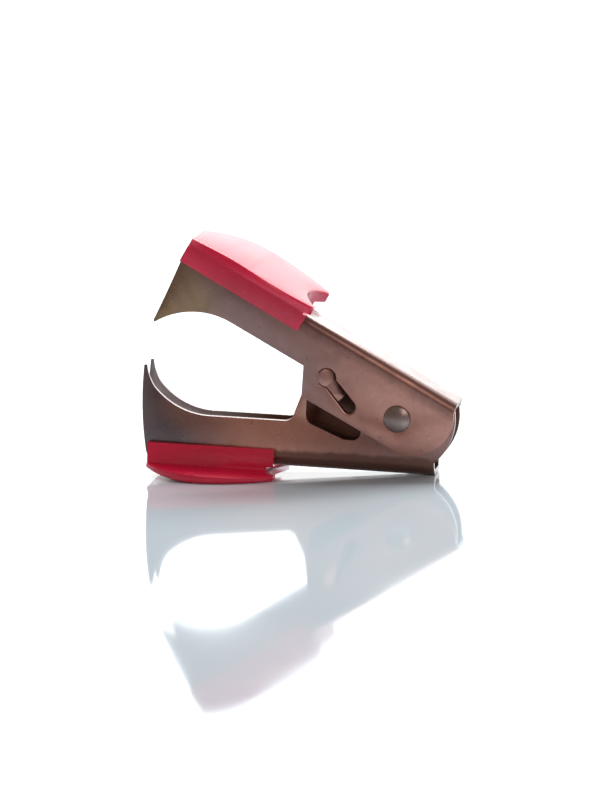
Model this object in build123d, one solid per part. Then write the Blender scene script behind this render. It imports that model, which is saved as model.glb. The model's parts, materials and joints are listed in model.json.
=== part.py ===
from build123d import *
import os
from math import atan2, cos, degrees, radians, sin, sqrt, tan

# A claw staple remover: two pressed-steel channel jaws on one rivet, a torsion spring
# between them and a plastic finger pad on each. It stands open on its lower pad and heel.
# Each jaw is drawn in its own flat frame: the pivot is at the origin, the fangs point to -X
# and +Z runs from the pivot out to the jaw's back. Sizes are in millimetres.

# ---- driving dimensions ----
SHEET = 1.0                 # steel thickness of both jaws
OUTER_WIDTH = 9.4           # across the upper jaw's walls
SIDE_GAP = 0.15             # between the walls of the two jaws
INNER_WIDTH = OUTER_WIDTH - 2 * (SHEET + SIDE_GAP)
UPPER_TILT = 31.0           # upper jaw's slope above the table, open
LOWER_TILT = 3.4            # lower jaw's slope above the table
UPPER_BACK = 7.9            # pivot to the outside of the upper jaw's back
LOWER_BACK = 10.2           # pivot to the outside of the lower jaw's back
UPPER_BEND = 1.8            # outside radius of the folds beside each back
LOWER_BEND = 2.0
HEEL = 7.0                  # pivot to the rear end of the lower jaw's back
EAR_RADIUS = 10.35          # lower jaw's round rear end, about the pivot
STOP_GAP = 0.5              # stop edge below the upper back, so that it meets the fold there
FANG_THINNING = 0.6         # taken off the inside of each fang's tip

RIVET_RADIUS = 1.7
UPPER_PLAY = 0.05           # radial play on the rivet
LOWER_PLAY = 0.02
HEAD_RADIUS = 2.4
HEAD_EDGE = 0.25            # thickness of the round head at its rim
HEAD_DOME = 0.65
HEAD_GAP = 0.06
CLINCH_HEIGHT = 0.7
CLINCH_BORE = 1.0

WIRE_RADIUS = 0.6
COIL_RADIUS = 3.3           # to the wire's centre
COIL_WHOLE_TURNS = 2
COIL_PITCH = 1.35
LEG_REACH = 17.0            # pivot to where each leg presses on its jaw
LEG_GAP = 0.05
LEG_THINNING = 0.03         # the legs are this much thinner than the coil that they enter
LEG_LET_IN = 0.12

UPPER_PAD = (-47.9, -21.7)  # front and rear ends
LOWER_PAD = (-45.1, -20.5)
UPPER_PAD_REAR = 2.8        # thickness at the rear end, outside the jaw's back
LOWER_PAD_REAR = (HEEL - LOWER_PAD[1]) * tan(radians(LOWER_TILT))
UPPER_PAD_SLOPE = 2.2       # of its outer face behind the crest, against the jaw's back
UPPER_PAD_FALL = (13.0, 2.2)    # length and depth of the outer face's fall to the front end
LOWER_PAD_FALL = (11.0, 1.7)
PAD_FRONT_HALF = 5.5        # half widths at the front end, the widest place and the rear
PAD_MIDDLE_HALF = 12.6
PAD_REAR_HALF = 9.2
PAD_NOTCH = 3.6             # depth of the hollow in the pad's rear edge
PAD_CORNER = 1.6            # plan radius of the corners beside it
PAD_RIM = 1.5               # thickness of the wings at their widest place
PAD_ROOT = 0.6              # inner face of the wings, outside the jaw's back, where they start
PAD_ROUND = 0.5
SKIRT_DEPTH = 3.15
SKIRT_THICKNESS = 1.15
SKIRT_SHORT = 1.6           # the skirts end this far before the pad's rear end
SKIRT_PLAY = 0.05
PEG_RADIUS = 1.0
PEG_PLAY = 0.05
PEG_HEAD_RADIUS = 1.5
PEG_HEAD_HEIGHT = 0.8
PEG_SHARES = (0.34, 0.74)   # where the two pegs stand along the pad

KEY_BULB = (-14.6, -0.15)   # keyhole lance in the upper jaw's near wall
KEY_END = (-8.45, -2.65)
KEY_BULB_RADIUS = 1.65
KEY_NECK_RADIUS = 1.1
KEY_LIP = 0.4               # rolled edge round the keyhole
TONGUE_ROOT = (-15.3, -1.7)
TONGUE_END = 4.8            # from the bulb's centre to the tongue's free end
TONGUE_ANGLE = 24.0
TONGUE_SLIT = 0.1

BIG = 200.0                 # larger than the whole tool


def prism(curves, half_width):
    """Solid of a side outline in the XZ plane, to half_width on both sides."""
    return extrude(Plane.XZ * make_face(curves), half_width, both=True)


def channel(width, back, bend):
    """Endless bent sheet: a back at Z = back and two walls that run down from it."""
    align = (Align.CENTER, Align.CENTER, Align.MAX)
    outside = Pos(0, 0, back) * Box(BIG, width, BIG, align=align)
    inside = Pos(0, 0, back - SHEET) * Box(BIG, width - 2 * SHEET, BIG, align=align)
    outside = fillet(outside.edges().filter_by(Axis.X).group_by(Axis.Z)[-1], bend)
    inside = fillet(inside.edges().filter_by(Axis.X).group_by(Axis.Z)[-1], bend - SHEET)
    return outside - inside


def upper_outline():
    """Side outline of the upper jaw: back, round rear ear, throat and fang."""
    back_front = (UPPER_PAD[0], UPPER_BACK)
    back_rear = (7.9, UPPER_BACK)
    ear_top = (8.3, 6.0)
    ear_low = (7.6, -2.5)
    ear_end = (3.2, -5.2)
    ear_front = (-16.85, -5.4)
    throat = (-19.3, -0.35)
    fang_root = (-34.5, -0.4)
    fang_tip = (-46.4, -7.45)
    fang_flat = (-46.75, -7.3)
    fang_back = (UPPER_PAD[0] + 0.1, 5.0)
    return (
        Line(back_front, back_rear)
        + Line(back_rear, ear_top)
        + ThreePointArc(ear_top, (9.45, 2.0), ear_low)
        + ThreePointArc(ear_low, (6.0, -4.2), ear_end)
        + Line(ear_end, ear_front)
        + Line(ear_front, throat)
        + Line(throat, fang_root)
        + ThreePointArc(fang_root, (-41.2, -2.2), fang_tip)
        + Line(fang_tip, fang_flat)
        + ThreePointArc(fang_flat, (-47.2, -1.2), fang_back)
        + Line(fang_back, back_front)
    )


def stop_point(along):
    """Point of the line just inside the open upper jaw's back, drawn with +Z to the lower back."""
    opening = radians(UPPER_TILT - LOWER_TILT)
    height = UPPER_BACK - SHEET - STOP_GAP
    return (
        along * cos(opening) + height * sin(opening),
        along * sin(opening) - height * cos(opening),
    )


def lower_outline():
    """Side outline of the lower jaw. The sloping edge behind the pivot stops the upper jaw."""
    under_back = UPPER_BACK - SHEET - STOP_GAP
    back_front = (LOWER_PAD[0] - 0.2, LOWER_BACK)
    heel = (HEEL, LOWER_BACK)
    ear_bottom = (6.85, sqrt(EAR_RADIUS**2 - 6.85**2))
    ear_top = stop_point(sqrt(EAR_RADIUS**2 - under_back**2))
    stop_front = stop_point(-0.4)
    brow_rear = (-5.0, stop_front[1])
    brow_front = (-16.86, -5.30)
    throat_top = (-18.75, 0.12)
    throat = (-20.43, 1.76)
    fang_root = (-34.64, 1.78)
    fang_bend = (-44.45, -2.98)
    fang_tip = (-45.89, -6.90)
    fang_flat = (-46.39, -6.81)
    return (
        Line(back_front, heel)
        + Line(heel, ear_bottom)
        + ThreePointArc(ear_bottom, (EAR_RADIUS, 0), ear_top)
        + Line(ear_top, stop_front)
        + Line(stop_front, brow_rear)
        + Line(brow_rear, brow_front)
        + Line(brow_front, throat_top)
        + ThreePointArc(throat_top, (-19.32, 1.26), throat)
        + Line(throat, fang_root)
        + ThreePointArc(fang_root, (-40.61, 0.14), fang_bend)
        + ThreePointArc(fang_bend, (-45.37, -4.79), fang_tip)
        + Line(fang_tip, fang_flat)
        + ThreePointArc(fang_flat, (-46.54, -0.81), back_front)
    )


def near_side():
    """Everything on the side of the near walls."""
    return Box(BIG, BIG, BIG, align=(Align.CENTER, Align.MAX, Align.CENTER))


def window():
    """Window in the lower jaw's near wall, where the upper jaw's tongue swings."""
    top = -8.3
    outline = (
        Line((-6.6, top), (-6.6, 3.0))
        + ThreePointArc((-6.6, 3.0), (-7.07, 4.13), (-8.2, 4.56))
        + Line((-8.2, 4.56), (-9.7, 4.5))
        + Line((-9.7, 4.5), (-15.35, 2.23))
        + ThreePointArc((-15.35, 2.23), (-16.32, 1.5), (-16.65, 0.4))
        + Line((-16.65, 0.4), (-16.6, -2.3))
        + ThreePointArc((-16.6, -2.3), (-16.3, -4.2), (-15.4, -6.7))
        + Line((-15.4, -6.7), (-15.4, top))
        + Line((-15.4, top), (-6.6, top))
    )
    return prism(outline, BIG) & near_side()


def rivet_hole(play):
    return Rot(90, 0, 0) * Cylinder(RIVET_RADIUS + play, BIG)


def peg_places(pad):
    front, rear = pad
    return [front + share * (rear - front) for share in PEG_SHARES]


def peg_holes(pad, back):
    return [Pos(x, 0, back) * Cylinder(PEG_RADIUS + PEG_PLAY, 4 * SHEET) for x in peg_places(pad)]


def keyhole(bulb_radius, neck_radius):
    """Flat keyhole: a round bulb and a neck that runs from it towards the pivot."""
    run = Vector(*KEY_END) - Vector(*KEY_BULB)
    middle = (Vector(*KEY_END) + Vector(*KEY_BULB)) * 0.5
    slope = degrees(atan2(run.Y, run.X))
    neck = Pos(middle.X, middle.Y) * Rot(0, 0, slope) * Rectangle(run.length, 2 * neck_radius)
    return Pos(*KEY_BULB) * Circle(bulb_radius) + neck + Pos(*KEY_END) * Circle(neck_radius)


def beyond_root():
    """Flat region on the free side of the tongue's fold, which is upright when open."""
    fold = Pos(*TONGUE_ROOT) * Rot(0, 0, UPPER_TILT)
    return fold * Rectangle(BIG, BIG, align=(Align.MIN, Align.CENTER))


def before_end():
    """Flat region between the bulb and the tongue's free end."""
    run = Vector(*KEY_END) - Vector(*KEY_BULB)
    slope = degrees(atan2(run.Y, run.X))
    bulb = Pos(*KEY_BULB) * Rot(0, 0, slope) * Pos(TONGUE_END, 0)
    return bulb * Rectangle(BIG, BIG, align=(Align.MAX, Align.CENTER))


def on_near_wall(flat, thickness):
    """Plate of a flat XZ shape, from the near wall's outside inwards."""
    plate = extrude(Plane.XZ * flat, -thickness)
    return Pos(0, -OUTER_WIDTH / 2, 0) * plate


def tongue():
    """Keyhole-shaped tongue, still joined at the bulb's side and bent into the jaw."""
    plan = keyhole(KEY_BULB_RADIUS - TONGUE_SLIT, KEY_NECK_RADIUS - TONGUE_SLIT)
    plate = on_near_wall(plan & beyond_root() & before_end(), 0.9 * SHEET)
    tilt = radians(UPPER_TILT)
    root = (TONGUE_ROOT[0], -OUTER_WIDTH / 2, TONGUE_ROOT[1])
    fold = Axis(root, (-sin(tilt), 0, cos(tilt)))
    return plate.rotate(fold, TONGUE_ANGLE)


def lance(jaw):
    """Cuts the keyhole in the near wall, rolls its outer edge and adds the tongue."""
    hole = keyhole(KEY_BULB_RADIUS, KEY_NECK_RADIUS) & beyond_root()
    jaw -= on_near_wall(hole, 1.5 * SHEET)
    face = jaw.faces().filter_by(Axis.Y).sort_by(Axis.Y)[0]
    rim = min(face.inner_wires(), key=lambda wire: wire.center().X)
    jaw = fillet(rim.edges().sort_by(Axis.X)[1:], KEY_LIP)
    return jaw + tongue()


def fang_wedges(width):
    """Cuts that thin the fangs from inside, towards their points."""
    face = width / 2 - SHEET
    wedges = []
    for side in (-1, 1):
        flat = Polyline(
            (side * face, -1.5),
            (side * (face - 1), -1.5),
            (side * (face - 1), -7.5),
            (side * (face + FANG_THINNING), -7.5),
            close=True,
        )
        wedge = extrude(Plane.YZ * make_face(flat), 6, both=True)
        wedges.append(Pos(-44, 0, 0) * wedge)
    return wedges


def make_upper_jaw():
    jaw = channel(OUTER_WIDTH, UPPER_BACK, UPPER_BEND) & prism(upper_outline(), BIG)
    jaw -= rivet_hole(UPPER_PLAY)
    jaw -= peg_holes(UPPER_PAD, UPPER_BACK) + fang_wedges(OUTER_WIDTH)
    return lance(jaw)


def make_lower_jaw():
    jaw = channel(INNER_WIDTH, LOWER_BACK, LOWER_BEND) & prism(lower_outline(), BIG)
    jaw -= rivet_hole(LOWER_PLAY)
    jaw -= peg_holes(LOWER_PAD, LOWER_BACK) + fang_wedges(INNER_WIDTH)
    return jaw - window()


def pad_plan(pad):
    """Pad seen from above: leaf-shaped sides, flat front end and hollow rear edge."""
    front, rear = pad
    widest = front + 0.45 * (rear - front)
    sides = []
    for side in (-1, 1):
        start = (front, side * PAD_FRONT_HALF)
        end = (rear, side * PAD_REAR_HALF)
        sides.append(ThreePointArc(start, (widest, side * PAD_MIDDLE_HALF), end))
    nose = Line(sides[0] @ 0, sides[1] @ 0)
    hollow = ThreePointArc(sides[0] @ 1, (rear - PAD_NOTCH, 0), sides[1] @ 1)
    plan = make_face(sides[0] + hollow + sides[1] + nose)
    return fillet(plan.vertices().group_by(Axis.X)[-1], PAD_CORNER)


def pad_side(pad, back, rear_height, slope, fall):
    """Side outline of the pad's plate: straight from the rear to its crest, then falling."""
    front, rear = pad
    rise = tan(radians(slope))
    crest = front + fall[0]
    tip = (front, back + rear_height + (rear - front) * rise - fall[1])
    top = (crest, back + rear_height + (rear - crest) * rise)
    end = (rear, back + rear_height)
    return (
        Line((front, back), (rear, back))
        + Line((rear, back), end)
        + Line(end, top)
        + TangentArc(top, tip, tangent=Vector(-1, rise))
        + Line(tip, (front, back))
    )


def wing_hollows(width, back, outer_height):
    """Cuts under the two wings, which get thinner from their roots to the rim."""
    root = width / 2 + SKIRT_THICKNESS
    rise = (outer_height - PAD_RIM - PAD_ROOT) / (PAD_MIDDLE_HALF - root)
    cuts = []
    for side in (-1, 1):
        flat = Polyline(
            (side * root, back + PAD_ROOT),
            (side * BIG, back + PAD_ROOT + rise * (BIG - root)),
            (side * BIG, back - 1),
            (side * root, back - 1),
            close=True,
        )
        cuts.append(extrude(Plane.YZ * make_face(flat), BIG, both=True))
    return cuts


def pad_skirts(pad, width, back, bend):
    """Two skirts that hug the jaw's walls and fill the folds beside its back."""
    front, rear = pad
    length = rear - SKIRT_SHORT - front
    skirts = Pos(front, 0, back) * Box(
        length,
        width + 2 * SKIRT_THICKNESS,
        SKIRT_DEPTH,
        align=(Align.MIN, Align.CENTER, Align.MAX),
    )
    pocket = Box(BIG, width + 2 * SKIRT_PLAY, BIG, align=(Align.CENTER, Align.CENTER, Align.MAX))
    pocket = fillet(pocket.edges().filter_by(Axis.X).group_by(Axis.Z)[-1], bend)
    return skirts - Pos(0, 0, back) * pocket


def peg(x, back):
    """Peg through the jaw's back, with its end pressed out into a round head."""
    align = (Align.CENTER, Align.CENTER, Align.MAX)
    shank = Pos(x, 0, back + 0.5) * Cylinder(PEG_RADIUS, SHEET + 1.0, align=align)
    head = Cylinder(PEG_HEAD_RADIUS, PEG_HEAD_HEIGHT, align=align)
    head = fillet(head.edges().sort_by(Axis.Z)[0], 0.5 * PEG_HEAD_HEIGHT)
    return shank + Pos(x, 0, back - SHEET - PEG_PLAY) * head


def make_plate(pad, width, back, side):
    """The pad's plate and its two wings, from its side outline."""
    plate = prism(side, BIG) & Pos(0, 0, back) * extrude(pad_plan(pad), BIG / 4)
    outer = plate.faces().sort_by(Axis.Z)[-2:]
    plate = fillet(ShapeList(e for f in outer for e in f.edges()), PAD_ROUND)
    middle = plate.bounding_box().max.Z - back
    return plate - wing_hollows(width, back, middle)


def make_grip(pad, width, back, bend, side):
    plate = make_plate(pad, width, back, side)
    grip = plate + pad_skirts(pad, width, back, bend)
    return grip + [peg(x, back) for x in peg_places(pad)]


def make_upper_grip():
    side = pad_side(UPPER_PAD, UPPER_BACK, UPPER_PAD_REAR, UPPER_PAD_SLOPE, UPPER_PAD_FALL)
    return make_grip(UPPER_PAD, OUTER_WIDTH, UPPER_BACK, UPPER_BEND, side)


def make_lower_grip():
    side = pad_side(LOWER_PAD, LOWER_BACK, LOWER_PAD_REAR, LOWER_TILT, LOWER_PAD_FALL)
    return make_grip(LOWER_PAD, INNER_WIDTH, LOWER_BACK, LOWER_BEND, side)


def make_rivet():
    """Round head on the near side, hollow clinched head on the far side."""
    length = OUTER_WIDTH + 2 * HEAD_GAP
    shank = Cylinder(RIVET_RADIUS, length)
    align = (Align.CENTER, Align.CENTER, Align.MIN)
    dome_radius = (HEAD_RADIUS**2 + HEAD_DOME**2) / (2 * HEAD_DOME)
    dome = Pos(0, 0, HEAD_EDGE + HEAD_DOME - dome_radius) * Sphere(dome_radius)
    head = dome & Cylinder(HEAD_RADIUS, 2 * HEAD_RADIUS, align=align)
    clinch = Cylinder(HEAD_RADIUS, CLINCH_HEIGHT, align=align)
    clinch = fillet(clinch.edges().sort_by(Axis.Z)[-1], 0.8 * CLINCH_HEIGHT)
    clinch -= Cylinder(CLINCH_BORE, BIG)
    bore = Pos(0, 0, -length / 2) * Cylinder(CLINCH_BORE, 3.0)
    rivet = shank - bore + Pos(0, 0, length / 2) * head
    rivet += Pos(0, 0, -length / 2) * (Rot(180, 0, 0) * clinch)
    return Rot(90, 0, 0) * rivet


def leg_points(back):
    """Where a leg leaves the coil and where it ends, just inside a jaw's back."""
    end = Vector(-LEG_REACH, back - SHEET - WIRE_RADIUS - LEG_GAP)
    turn = atan2(end.Y, end.X) - atan2(sqrt(end.length**2 - COIL_RADIUS**2), COIL_RADIUS)
    return Vector(COIL_RADIUS * cos(turn), COIL_RADIUS * sin(turn)), end


def in_space(point, y, tilt, flip=1):
    """A point of a jaw's flat frame, placed as the jaw stands."""
    turn = radians(tilt)
    x, z = point.X, flip * point.Y
    return Vector(x * cos(turn) + z * sin(turn), y, z * cos(turn) - x * sin(turn))


def make_spring():
    """Torsion spring: coil round the rivet and a straight leg inside each jaw's back."""
    upper_start, upper_end = leg_points(UPPER_BACK)
    lower_start, lower_end = leg_points(LOWER_BACK)
    top = in_space(upper_start, 0, UPPER_TILT)
    bottom = in_space(lower_start, 0, LOWER_TILT, flip=-1)
    sweep_angle = degrees(atan2(top.Z, top.X) - atan2(bottom.Z, bottom.X))
    turns = COIL_WHOLE_TURNS + sweep_angle / 360
    height = turns * COIL_PITCH
    coil_line = Helix(COIL_PITCH, height, COIL_RADIUS, lefthand=False)
    start = Plane(coil_line @ 0, z_dir=coil_line % 0)
    coil = sweep(start * Circle(WIRE_RADIUS), path=coil_line, is_frenet=True)
    coil = Rot(-90, 0, 0) * coil
    coil = Pos(0, -height / 2, 0) * coil
    coil = coil.rotate(Axis.Y, -degrees(atan2(top.Z, top.X)))
    legs = [
        leg(top, in_space(upper_end, 0, UPPER_TILT), -height / 2),
        leg(bottom, in_space(lower_end, 0, LOWER_TILT, flip=-1), height / 2),
    ]
    return coil + legs


def leg(start, end, y):
    """Straight wire from the coil to the leg's end, let a little way into the coil."""
    run = end - start
    path = Plane(start - run.normalized() * LEG_LET_IN + Vector(0, y, 0), z_dir=run)
    align = (Align.CENTER, Align.CENTER, Align.MIN)
    return path * Cylinder(WIRE_RADIUS - LEG_THINNING, run.length + LEG_LET_IN, align=align)


def stand_upper(shape):
    return shape.rotate(Axis.Y, UPPER_TILT)


def stand_lower(shape):
    return mirror(shape, about=Plane.XY).rotate(Axis.Y, LOWER_TILT)


def main():
    nodes = {
        "upper_jaw": stand_upper(make_upper_jaw()),
        "lower_jaw": stand_lower(make_lower_jaw()),
        "upper_grip": stand_upper(make_upper_grip()),
        "lower_grip": stand_lower(make_lower_grip()),
        "pivot_rivet": make_rivet(),
        "torsion_spring": make_spring(),
    }
    boxes = [shape.bounding_box() for shape in nodes.values()]
    front, rear = min(box.min.X for box in boxes), max(box.max.X for box in boxes)
    base = Vector(-(front + rear) / 2, 0, -min(box.min.Z for box in boxes))
    os.makedirs("parts", exist_ok=True)
    for name, shape in nodes.items():
        export_step(Pos(*base) * shape, f"parts/{name}.step")
    print("pivot at", base)


main()
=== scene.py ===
import json
import math

import bmesh
import bpy
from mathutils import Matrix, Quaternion, Vector


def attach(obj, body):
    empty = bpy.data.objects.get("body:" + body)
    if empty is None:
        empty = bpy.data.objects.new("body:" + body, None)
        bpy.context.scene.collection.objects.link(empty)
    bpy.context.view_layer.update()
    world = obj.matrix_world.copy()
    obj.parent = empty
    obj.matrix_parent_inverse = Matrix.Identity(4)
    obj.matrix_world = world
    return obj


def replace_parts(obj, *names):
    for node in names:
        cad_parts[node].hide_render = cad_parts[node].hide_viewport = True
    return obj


MM = 0.001

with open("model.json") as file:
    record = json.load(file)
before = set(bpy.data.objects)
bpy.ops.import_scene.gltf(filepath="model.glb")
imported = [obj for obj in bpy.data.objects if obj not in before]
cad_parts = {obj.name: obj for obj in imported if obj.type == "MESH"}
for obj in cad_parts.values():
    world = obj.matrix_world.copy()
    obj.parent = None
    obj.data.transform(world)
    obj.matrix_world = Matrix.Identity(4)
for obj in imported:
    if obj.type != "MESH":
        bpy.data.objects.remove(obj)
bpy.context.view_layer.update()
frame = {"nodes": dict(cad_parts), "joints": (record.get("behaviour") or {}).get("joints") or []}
nodes = frame["nodes"]
pivot = Vector(frame["joints"][0]["pos_m"])

# Angles of the jaws' backs to the table while the tool stands open.
UPPER, LOWER = math.radians(31.0), math.radians(3.4)


# ---- camera ----
AZIMUTH, ELEVATION, ROLL = math.radians(9.3), math.radians(9.0), math.radians(-1.2)
LENS, SENSOR = 270, 36
FIELD = 142.9 * MM  # how much height the view takes in at the rivet's head
RIVET_HEAD = pivot + Vector((0, -5.6 * MM, 0))
AIM_SHIFT = (-17.17 * MM, 3.6 * MM)  # from the rivet's head, across and up the view


def make_camera():
    level = math.cos(ELEVATION)
    back = Vector((math.sin(AZIMUTH) * level, -math.cos(AZIMUTH) * level, math.sin(ELEVATION)))
    turn = (-back).to_track_quat("-Z", "Y") @ Quaternion((0, 0, 1), ROLL)
    data = bpy.data.cameras.new("camera")
    data.lens = LENS
    data.sensor_width = SENSOR
    data.clip_start, data.clip_end = 0.01, 20
    camera = bpy.data.objects.new("camera", data)
    bpy.context.scene.collection.objects.link(camera)
    camera.rotation_mode = "QUATERNION"
    camera.rotation_quaternion = turn
    camera.location = RIVET_HEAD + turn @ Vector((*AIM_SHIFT, FIELD * LENS / SENSOR))
    bpy.context.scene.camera = camera


make_camera()


# ---- node helpers ----
MIX_A, MIX_B, MIX_RESULT = 6, 7, 2  # the colour sockets of a Mix node


class Nodes:
    """A material's node tree, with short calls for the nodes used here."""

    def __init__(self, name):
        self.material = bpy.data.materials.new(name)
        self.material.use_nodes = True
        self.tree = self.material.node_tree
        self.shader = self.tree.nodes["Principled BSDF"]
        self.place = self.add("ShaderNodeTexCoord").outputs["Object"]

    def add(self, kind, **values):
        node = self.tree.nodes.new(kind)
        for key, value in values.items():
            setattr(node, key, value)
        return node

    def link(self, source, target):
        self.tree.links.new(source, target)

    def fix(self, **values):
        for key, value in values.items():
            self.shader.inputs[key.replace("_", " ")].default_value = value

    def stretched(self, scale, turn=(0, 0, 0)):
        node = self.add("ShaderNodeMapping")
        node.inputs["Scale"].default_value = scale
        node.inputs["Rotation"].default_value = turn
        self.link(self.place, node.inputs["Vector"])
        return node.outputs["Vector"]

    def noise(self, scale, detail=3, rough=0.5, vector=None, distortion=0):
        node = self.add("ShaderNodeTexNoise")
        node.inputs["Scale"].default_value = scale
        node.inputs["Detail"].default_value = detail
        node.inputs["Roughness"].default_value = rough
        node.inputs["Distortion"].default_value = distortion
        self.link(vector or self.place, node.inputs["Vector"])
        return node.outputs["Fac"]

    def ramp(self, source, low, high, start, end):
        node = self.add("ShaderNodeMapRange")
        for key, value in zip(("From Min", "From Max", "To Min", "To Max"), (low, high, start, end)):
            node.inputs[key].default_value = value
        self.link(source, node.inputs["Value"])
        return node.outputs["Result"]

    def math(self, operation, one, two):
        node = self.add("ShaderNodeMath", operation=operation)
        for slot, value in zip(node.inputs, (one, two)):
            if isinstance(value, (int, float)):
                slot.default_value = value
            else:
                self.link(value, slot)
        return node.outputs[0]

    def mix(self, share, one, two):
        node = self.add("ShaderNodeMix", data_type="RGBA")
        self.link(share, node.inputs["Factor"])
        for index, value in ((MIX_A, one), (MIX_B, two)):
            if isinstance(value, tuple):
                node.inputs[index].default_value = (*value, 1)
            else:
                self.link(value, node.inputs[index])
        return node.outputs[MIX_RESULT]

    def attribute(self, name):
        return self.add("ShaderNodeAttribute", attribute_name=name).outputs["Fac"]

    def split(self, vector):
        node = self.add("ShaderNodeSeparateXYZ")
        self.link(vector, node.inputs[0])
        return node.outputs

    def bump(self, height, strength, distance, normal=None):
        node = self.add("ShaderNodeBump")
        node.inputs["Strength"].default_value = strength
        node.inputs["Distance"].default_value = distance
        self.link(height, node.inputs["Height"])
        if normal:
            self.link(normal, node.inputs["Normal"])
        return node.outputs["Normal"]


# ---- materials ----
# Where the painted reflection on the steel changes colour along X: fang to middle, then middle to rear.
FANG_PAINTED_REFLECTION = (-24 * MM, -12 * MM)
REAR_PAINTED_REFLECTION = (-6 * MM, 14 * MM)
# Where the painted light on the walls' inner sides gives way to painted shade, along X.
LINING_LIT_TO_SHADED = (-24 * MM, -6 * MM)
PAINTED_LIT_LINING = (0.36, 0.33, 0.33)
# Painted reflection on the backs: a pale sheen, and a grey one where stained.
PAINTED_SHEEN_PALE, PAINTED_SHEEN_STAINED = (0.5, 0.45, 0.44), (0.4, 0.34, 0.33)
# Pale edges: partly wear of the plating, partly a painted highlight.
WORN_EDGE_AND_HIGHLIGHT = (0.85, 0.82, 0.8)


def darker(colour, share):
    return tuple(share * part for part in colour)


def painted_fold_shade(n, stains, out, start, end):
    """Painted shade that darkens a wall near its fold: not at all up to start, and 0.75 from end on.
    Both are distances from the pivot in the direction out, which is towards the fold."""
    reach = n.add("ShaderNodeVectorMath", operation="DOT_PRODUCT")
    n.link(n.place, reach.inputs[0])
    reach.inputs[1].default_value = out
    height = n.math("SUBTRACT", reach.outputs["Value"], pivot.dot(out))
    height = n.math("ADD", height, n.ramp(stains, 0.3, 0.7, -0.4 * MM, 0.4 * MM))
    normal = n.split(n.add("ShaderNodeNewGeometry").outputs["Normal"])
    wall = n.ramp(n.math("ABSOLUTE", normal["Y"], 0), 0.3, 0.8, 0, 0.75)
    return n.math("MULTIPLY", n.ramp(height, start, end, 0, 1), wall)


def plated_steel(name, fang, middle, rear, edge=WORN_EDGE_AND_HIGHLIGHT, slope=0, fold=None):
    """Plated sheet steel: its colour is a painted reflection that changes along the jaw, with polishing
    lines, stains and wear.
    fold is what the painted fold shade needs: the direction out to the jaw's back, the start and the end."""
    n = Nodes(name)
    along = n.stretched((0.12, 1, 1), (0, slope, 0))
    lines = n.noise(5200, detail=2, rough=0.6, vector=along)
    waves = n.noise(70, detail=1, rough=0.4)
    stains = n.noise(160, detail=5, rough=0.62, distortion=0.6)
    patches = n.ramp(stains, 0.35, 0.7, 0, 1)
    specks = n.ramp(n.noise(900, detail=2), 0.66, 0.74, 0, 0.35)

    # painted reflection of the surroundings, changing in colour from fang to middle to rear
    shift = n.math("ADD", n.split(n.place)["X"], n.ramp(waves, 0.2, 0.8, -6 * MM, 6 * MM))
    painted_reflection = n.mix(n.ramp(shift, *FANG_PAINTED_REFLECTION, 0, 1), fang, middle)
    painted_reflection = n.mix(n.ramp(shift, *REAR_PAINTED_REFLECTION, 0, 1), painted_reflection, rear)
    colour = n.mix(n.ramp(stains, 0.4, 0.75, 0, 0.3), painted_reflection, darker(middle, 0.4))
    if fold:
        # painted shade: the wall darkened towards its fold
        colour = n.mix(painted_fold_shade(n, stains, *fold), colour, darker(middle, 0.22))
    # painted light and shade on the walls' inner sides: pale where lit near the fang, dark in shade further
    # in
    painted_lining = n.mix(n.ramp(shift, *LINING_LIT_TO_SHADED, 0, 1), PAINTED_LIT_LINING, darker(middle, 0.2))
    colour = n.mix(n.attribute("inside"), colour, painted_lining)
    # painted reflection: faces that don't face sideways get the pale sheen, patched with the grey one by
    # stains
    colour = n.mix(n.attribute("back"), colour, n.mix(patches, PAINTED_SHEEN_PALE, PAINTED_SHEEN_STAINED))
    colour = n.mix(specks, colour, darker(middle, 0.3))
    # edges: partly wear of the plating, partly a painted highlight
    wear_and_highlight = n.math("MULTIPLY", n.attribute("edge"), n.ramp(n.noise(700), 0.3, 0.55, 0.35, 1))
    n.link(n.mix(wear_and_highlight, colour, edge), n.shader.inputs["Base Color"])

    stained = n.ramp(stains, 0.3, 0.75, 0.26, 0.38)
    polished = n.ramp(lines, 0.3, 0.7, -0.03, 0.03)
    n.link(n.math("ADD", stained, polished), n.shader.inputs["Roughness"])
    sheet = n.bump(waves, 0.3, 0.3 * MM)
    n.link(n.bump(lines, 0.05, 0.02 * MM, sheet), n.shader.inputs["Normal"])
    n.fix(Metallic=1.0)
    return n.material


def red_plastic(name):
    """Glossy moulded plastic with a faint orange peel, scuffs and paler edges, partly rubbed and partly a
    painted highlight.
    """
    n = Nodes(name)
    rubbed = n.stretched((0.15, 1, 1), (0, 0.5, 0.4))
    scuffs = n.ramp(n.noise(1500, detail=4, rough=0.7, vector=rubbed), 0.58, 0.7, 0, 1)
    cloud = n.ramp(n.noise(120), 0.3, 0.7, 0, 1)
    colour = n.mix(cloud, (0.76, 0.010, 0.065), (0.64, 0.008, 0.052))
    # paler edges: partly rubbing wear, partly a painted highlight
    wear_and_highlight = n.math("MULTIPLY", n.attribute("edge"), 0.5)
    n.link(n.mix(wear_and_highlight, colour, (0.8, 0.08, 0.13)), n.shader.inputs["Base Color"])
    n.link(n.ramp(scuffs, 0, 1, 0.2, 0.34), n.shader.inputs["Roughness"])
    n.link(n.bump(n.noise(1400, detail=1), 0.06, 0.05 * MM), n.shader.inputs["Normal"])
    n.fix(Specular_IOR_Level=0.55, Coat_Weight=0.12, Coat_Roughness=0.12)
    n.fix(Subsurface_Weight=0.2, Subsurface_Scale=1.5 * MM, Subsurface_Radius=(1.0, 0.2, 0.15))
    return n.material


# ---- pieces ----
SAME_PLACE = 1e-6
FLAT_UNDER = math.radians(0.3)
SHARP_OVER = math.radians(35)
SMOOTH_UNDER = math.radians(32)


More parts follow.
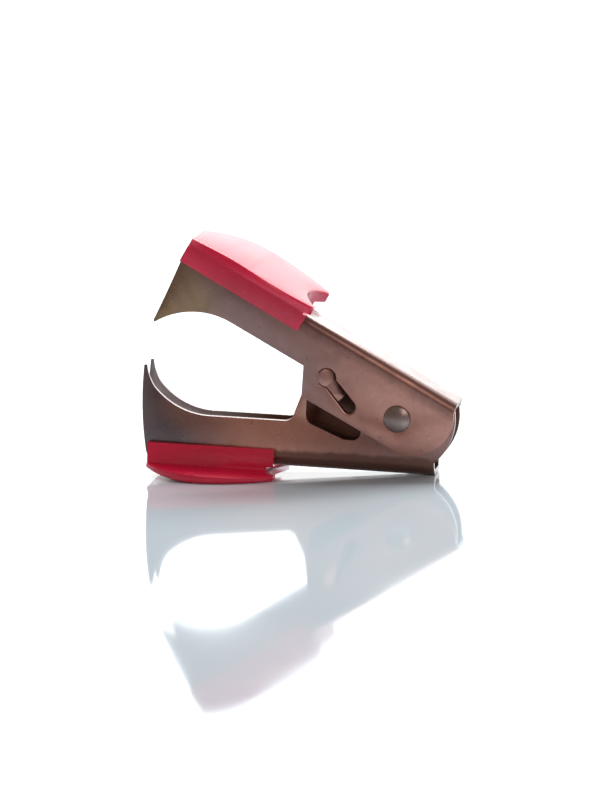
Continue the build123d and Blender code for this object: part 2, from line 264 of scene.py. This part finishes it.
def mark_faces(bm, bevelled):
    """Mark each face from 0 to 1 as edge (wear with a painted highlight), as the inner side of a wall, and as
    back; the last two carry painted light and shade.
    Everything that doesn't face sideways counts as back."""
    edge = bm.faces.layers.float.new("edge")
    inside = bm.faces.layers.float.new("inside")
    back = bm.faces.layers.float.new("back")
    for face in bm.faces:
        face[back] = min(1.0, max(0.0, 1.15 - 1.5 * abs(face.normal.y)))
        face[edge] = 1.0 if face in bevelled else 0.0
        face[inside] = 1.0 if face.normal.y * face.calc_center_median().y < -0.5 * MM else 0.0


def clean_copy(node, name, bevel):
    """A copy of a CAD node with joined vertices and its sharp edges rounded."""
    mesh = bpy.data.meshes.new(name)
    mesh.from_pydata([v.co for v in node.data.vertices], [], [p.vertices[:] for p in node.data.polygons])
    bm = bmesh.new()
    bm.from_mesh(mesh)
    bmesh.ops.remove_doubles(bm, verts=bm.verts, dist=SAME_PLACE)
    bmesh.ops.dissolve_limit(bm, angle_limit=FLAT_UNDER, verts=bm.verts, edges=bm.edges)
    sharp = [e for e in bm.edges if len(e.link_faces) == 2 and e.calc_face_angle() > SHARP_OVER]
    made = bmesh.ops.bevel(
        bm, geom=sharp, offset=bevel, segments=2, profile=0.5, affect="EDGES", clamp_overlap=True
    )
    mark_faces(bm, set(made["faces"]))
    bmesh.ops.triangulate(bm, faces=[f for f in bm.faces if len(f.verts) > 4])
    bm.to_mesh(mesh)
    bm.free()
    mesh.shade_smooth()
    mesh.set_sharp_from_angle(angle=SMOOTH_UNDER)
    piece = bpy.data.objects.new(name, mesh)
    bpy.context.scene.collection.objects.link(piece)
    return piece


def dress(piece, material, body):
    piece.data.materials.clear()
    piece.data.materials.append(material)
    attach(piece, body)
    return piece


RIVET_TINT = (0.30, 0.23, 0.21)
SPRING_TINT = (0.3, 0.3, 0.32)
UPPER_OUT = Vector((math.sin(UPPER), 0, math.cos(UPPER)))
LOWER_OUT = Vector((-math.sin(LOWER), 0, -math.cos(LOWER)))

# fang, middle and rear are the colours of a painted reflection along each jaw
upper_steel = plated_steel(
    "upper_steel",
    fang=(0.25, 0.155, 0.075),
    middle=(0.31, 0.19, 0.175),
    rear=(0.52, 0.26, 0.21),
    slope=-UPPER,
    fold=(UPPER_OUT, 4.4 * MM, 7.2 * MM),
)
lower_steel = plated_steel(
    "lower_steel",
    fang=(0.155, 0.12, 0.125),
    middle=(0.62, 0.31, 0.235),
    rear=(0.34, 0.20, 0.18),
    slope=-LOWER,
    fold=(LOWER_OUT, 6.8 * MM, 7.5 * MM),
)
rivet_steel = plated_steel("rivet_steel", RIVET_TINT, RIVET_TINT, RIVET_TINT, edge=(0.34, 0.28, 0.26))
spring_steel = plated_steel("spring_steel", SPRING_TINT, SPRING_TINT, SPRING_TINT, edge=(0.5, 0.5, 0.5))
plastic = red_plastic("red_plastic")

for node, body, material, slot, bevel in (
    ("upper_jaw", "upper_body", upper_steel, "jaw_steel", 0.1 * MM),
    ("lower_jaw", "lower_body", lower_steel, "jaw_steel", 0.1 * MM),
    ("upper_grip", "upper_body", plastic, "red_plastic", 0.12 * MM),
    ("lower_grip", "lower_body", plastic, "red_plastic", 0.12 * MM),
    ("pivot_rivet", "lower_body", rivet_steel, "rivet_steel", 0.06 * MM),
):
    piece = clean_copy(nodes[node], node + "_look", bevel)
    dress(piece, material, body)
    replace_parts(piece, node)


# ---- spring ----
WIRE_RADIUS, COIL_RADIUS = 0.6 * MM, 3.3 * MM
PITCH, WHOLE_TURNS = 1.35 * MM, 2
LEG_END = 17.0 * MM  # from the pivot, along the jaw
UPPER_BACK, LOWER_BACK = 6.85 * MM, 9.15 * MM  # from the pivot to just inside each jaw's back
COIL_STEPS = 120


def leg_line(inside, tilt, side):
    """Start on the coil and end of a leg that lies just inside a jaw's back, in the XZ plane.
    side is 1 for the upper jaw and -1 for the lower one."""
    height = inside - WIRE_RADIUS
    length = math.hypot(LEG_END, height)
    turn = math.atan2(height, -LEG_END) - math.acos(COIL_RADIUS / length)
    across, up = math.cos(tilt), math.sin(tilt)
    placed = []
    for x, z in ((COIL_RADIUS * math.cos(turn), COIL_RADIUS * math.sin(turn)), (-LEG_END, height)):
        placed.append((x * across + side * z * up, side * z * across - x * up))
    return placed


def wire(name, points, body):
    """A round drawn wire through the points, with flat closed ends."""
    curve = bpy.data.curves.new(name, "CURVE")
    curve.dimensions = "3D"
    curve.bevel_depth = WIRE_RADIUS
    curve.bevel_resolution = 5
    curve.use_fill_caps = True
    line = curve.splines.new("POLY")
    line.points.add(len(points) - 1)
    for point, place in zip(line.points, points):
        point.co = (*(pivot + Vector(place)), 1)
    line.use_smooth = True
    piece = bpy.data.objects.new(name, curve)
    bpy.context.scene.collection.objects.link(piece)
    return dress(piece, spring_steel, body)


def make_spring():
    """The coil and lower leg are one piece on the lower jaw, and the upper leg is another."""
    upper = leg_line(UPPER_BACK, UPPER, 1)
    lower = leg_line(LOWER_BACK, LOWER, -1)
    first = math.atan2(upper[0][1], upper[0][0])
    sweep = 2 * math.pi * WHOLE_TURNS + first - math.atan2(lower[0][1], lower[0][0])
    height = PITCH * sweep / (2 * math.pi)
    coil = []
    for step in range(COIL_STEPS + 1):
        share = step / COIL_STEPS
        turn = first - sweep * share
        coil.append((COIL_RADIUS * math.cos(turn), height * (share - 0.5), COIL_RADIUS * math.sin(turn)))
    coil.append((lower[1][0], height / 2, lower[1][1]))
    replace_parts(wire("spring_coil", coil, "lower_body"), "torsion_spring")
    wire("spring_upper_leg", [(x, -height / 2, z) for x, z in upper], "upper_body")


make_spring()


# ---- stage ----
def make_floor():
    mesh = bpy.data.meshes.new("floor")
    mesh.from_pydata([(-3, -2, 0), (3, -2, 0), (3, 3, 0), (-3, 3, 0)], [], [(0, 1, 2, 3)])
    floor = bpy.data.objects.new("floor", mesh)
    bpy.context.scene.collection.objects.link(floor)
    n = Nodes("floor")
    n.link(n.mix(n.noise(6, detail=2), (0.55, 0.68, 0.76), (0.64, 0.74, 0.80)), n.shader.inputs["Base Color"])
    n.link(n.ramp(n.noise(25), 0.3, 0.7, 0.04, 0.08), n.shader.inputs["Roughness"])
    n.fix(IOR=1.7)
    mesh.materials.append(n.material)


def make_light(name, place, aim, size, power, colour=(1, 1, 1)):
    data = bpy.data.lights.new(name, "AREA")
    data.shape = "RECTANGLE"
    data.size, data.size_y = size
    data.energy = power
    data.color = colour
    light = bpy.data.objects.new(name, data)
    light.location = place
    light.rotation_mode = "QUATERNION"
    light.rotation_quaternion = (Vector(aim) - Vector(place)).to_track_quat("-Z", "Y")
    bpy.context.scene.collection.objects.link(light)


def make_world():
    """Bright white behind the tool and a dim warm room on the camera's side."""
    world = bpy.data.worlds.new("world")
    world.use_nodes = True
    tree = world.node_tree
    place = tree.nodes.new("ShaderNodeTexCoord")
    parts = tree.nodes.new("ShaderNodeSeparateXYZ")
    ramp = tree.nodes.new("ShaderNodeValToRGB")
    tree.links.new(place.outputs["Generated"], parts.inputs[0])
    tree.links.new(parts.outputs["Y"], ramp.inputs["Fac"])
    near, far = ramp.color_ramp.elements
    near.position, near.color = 0.0, (0.30, 0.24, 0.22, 1)
    far.position, far.color = 0.6, (1, 1, 1, 1)
    tree.links.new(ramp.outputs["Color"], tree.nodes["Background"].inputs["Color"])
    bpy.context.scene.world = world


bpy.context.scene.view_settings.view_transform = "Standard"
make_floor()
make_world()
make_light("top", place=(-0.05, 0.45, 0.7), aim=(0, 0, 0), size=(0.8, 0.5), power=9)
make_light("back", place=(0, 1.6, 0.36), aim=(0, 0, 0.1), size=(3.0, 0.68), power=6.2)
make_light(
    "front", place=(0.5, -0.7, 0.5), aim=(0, 0, 0.02), size=(0.5, 0.5), power=1.5, colour=(1, 0.9, 0.85)
)
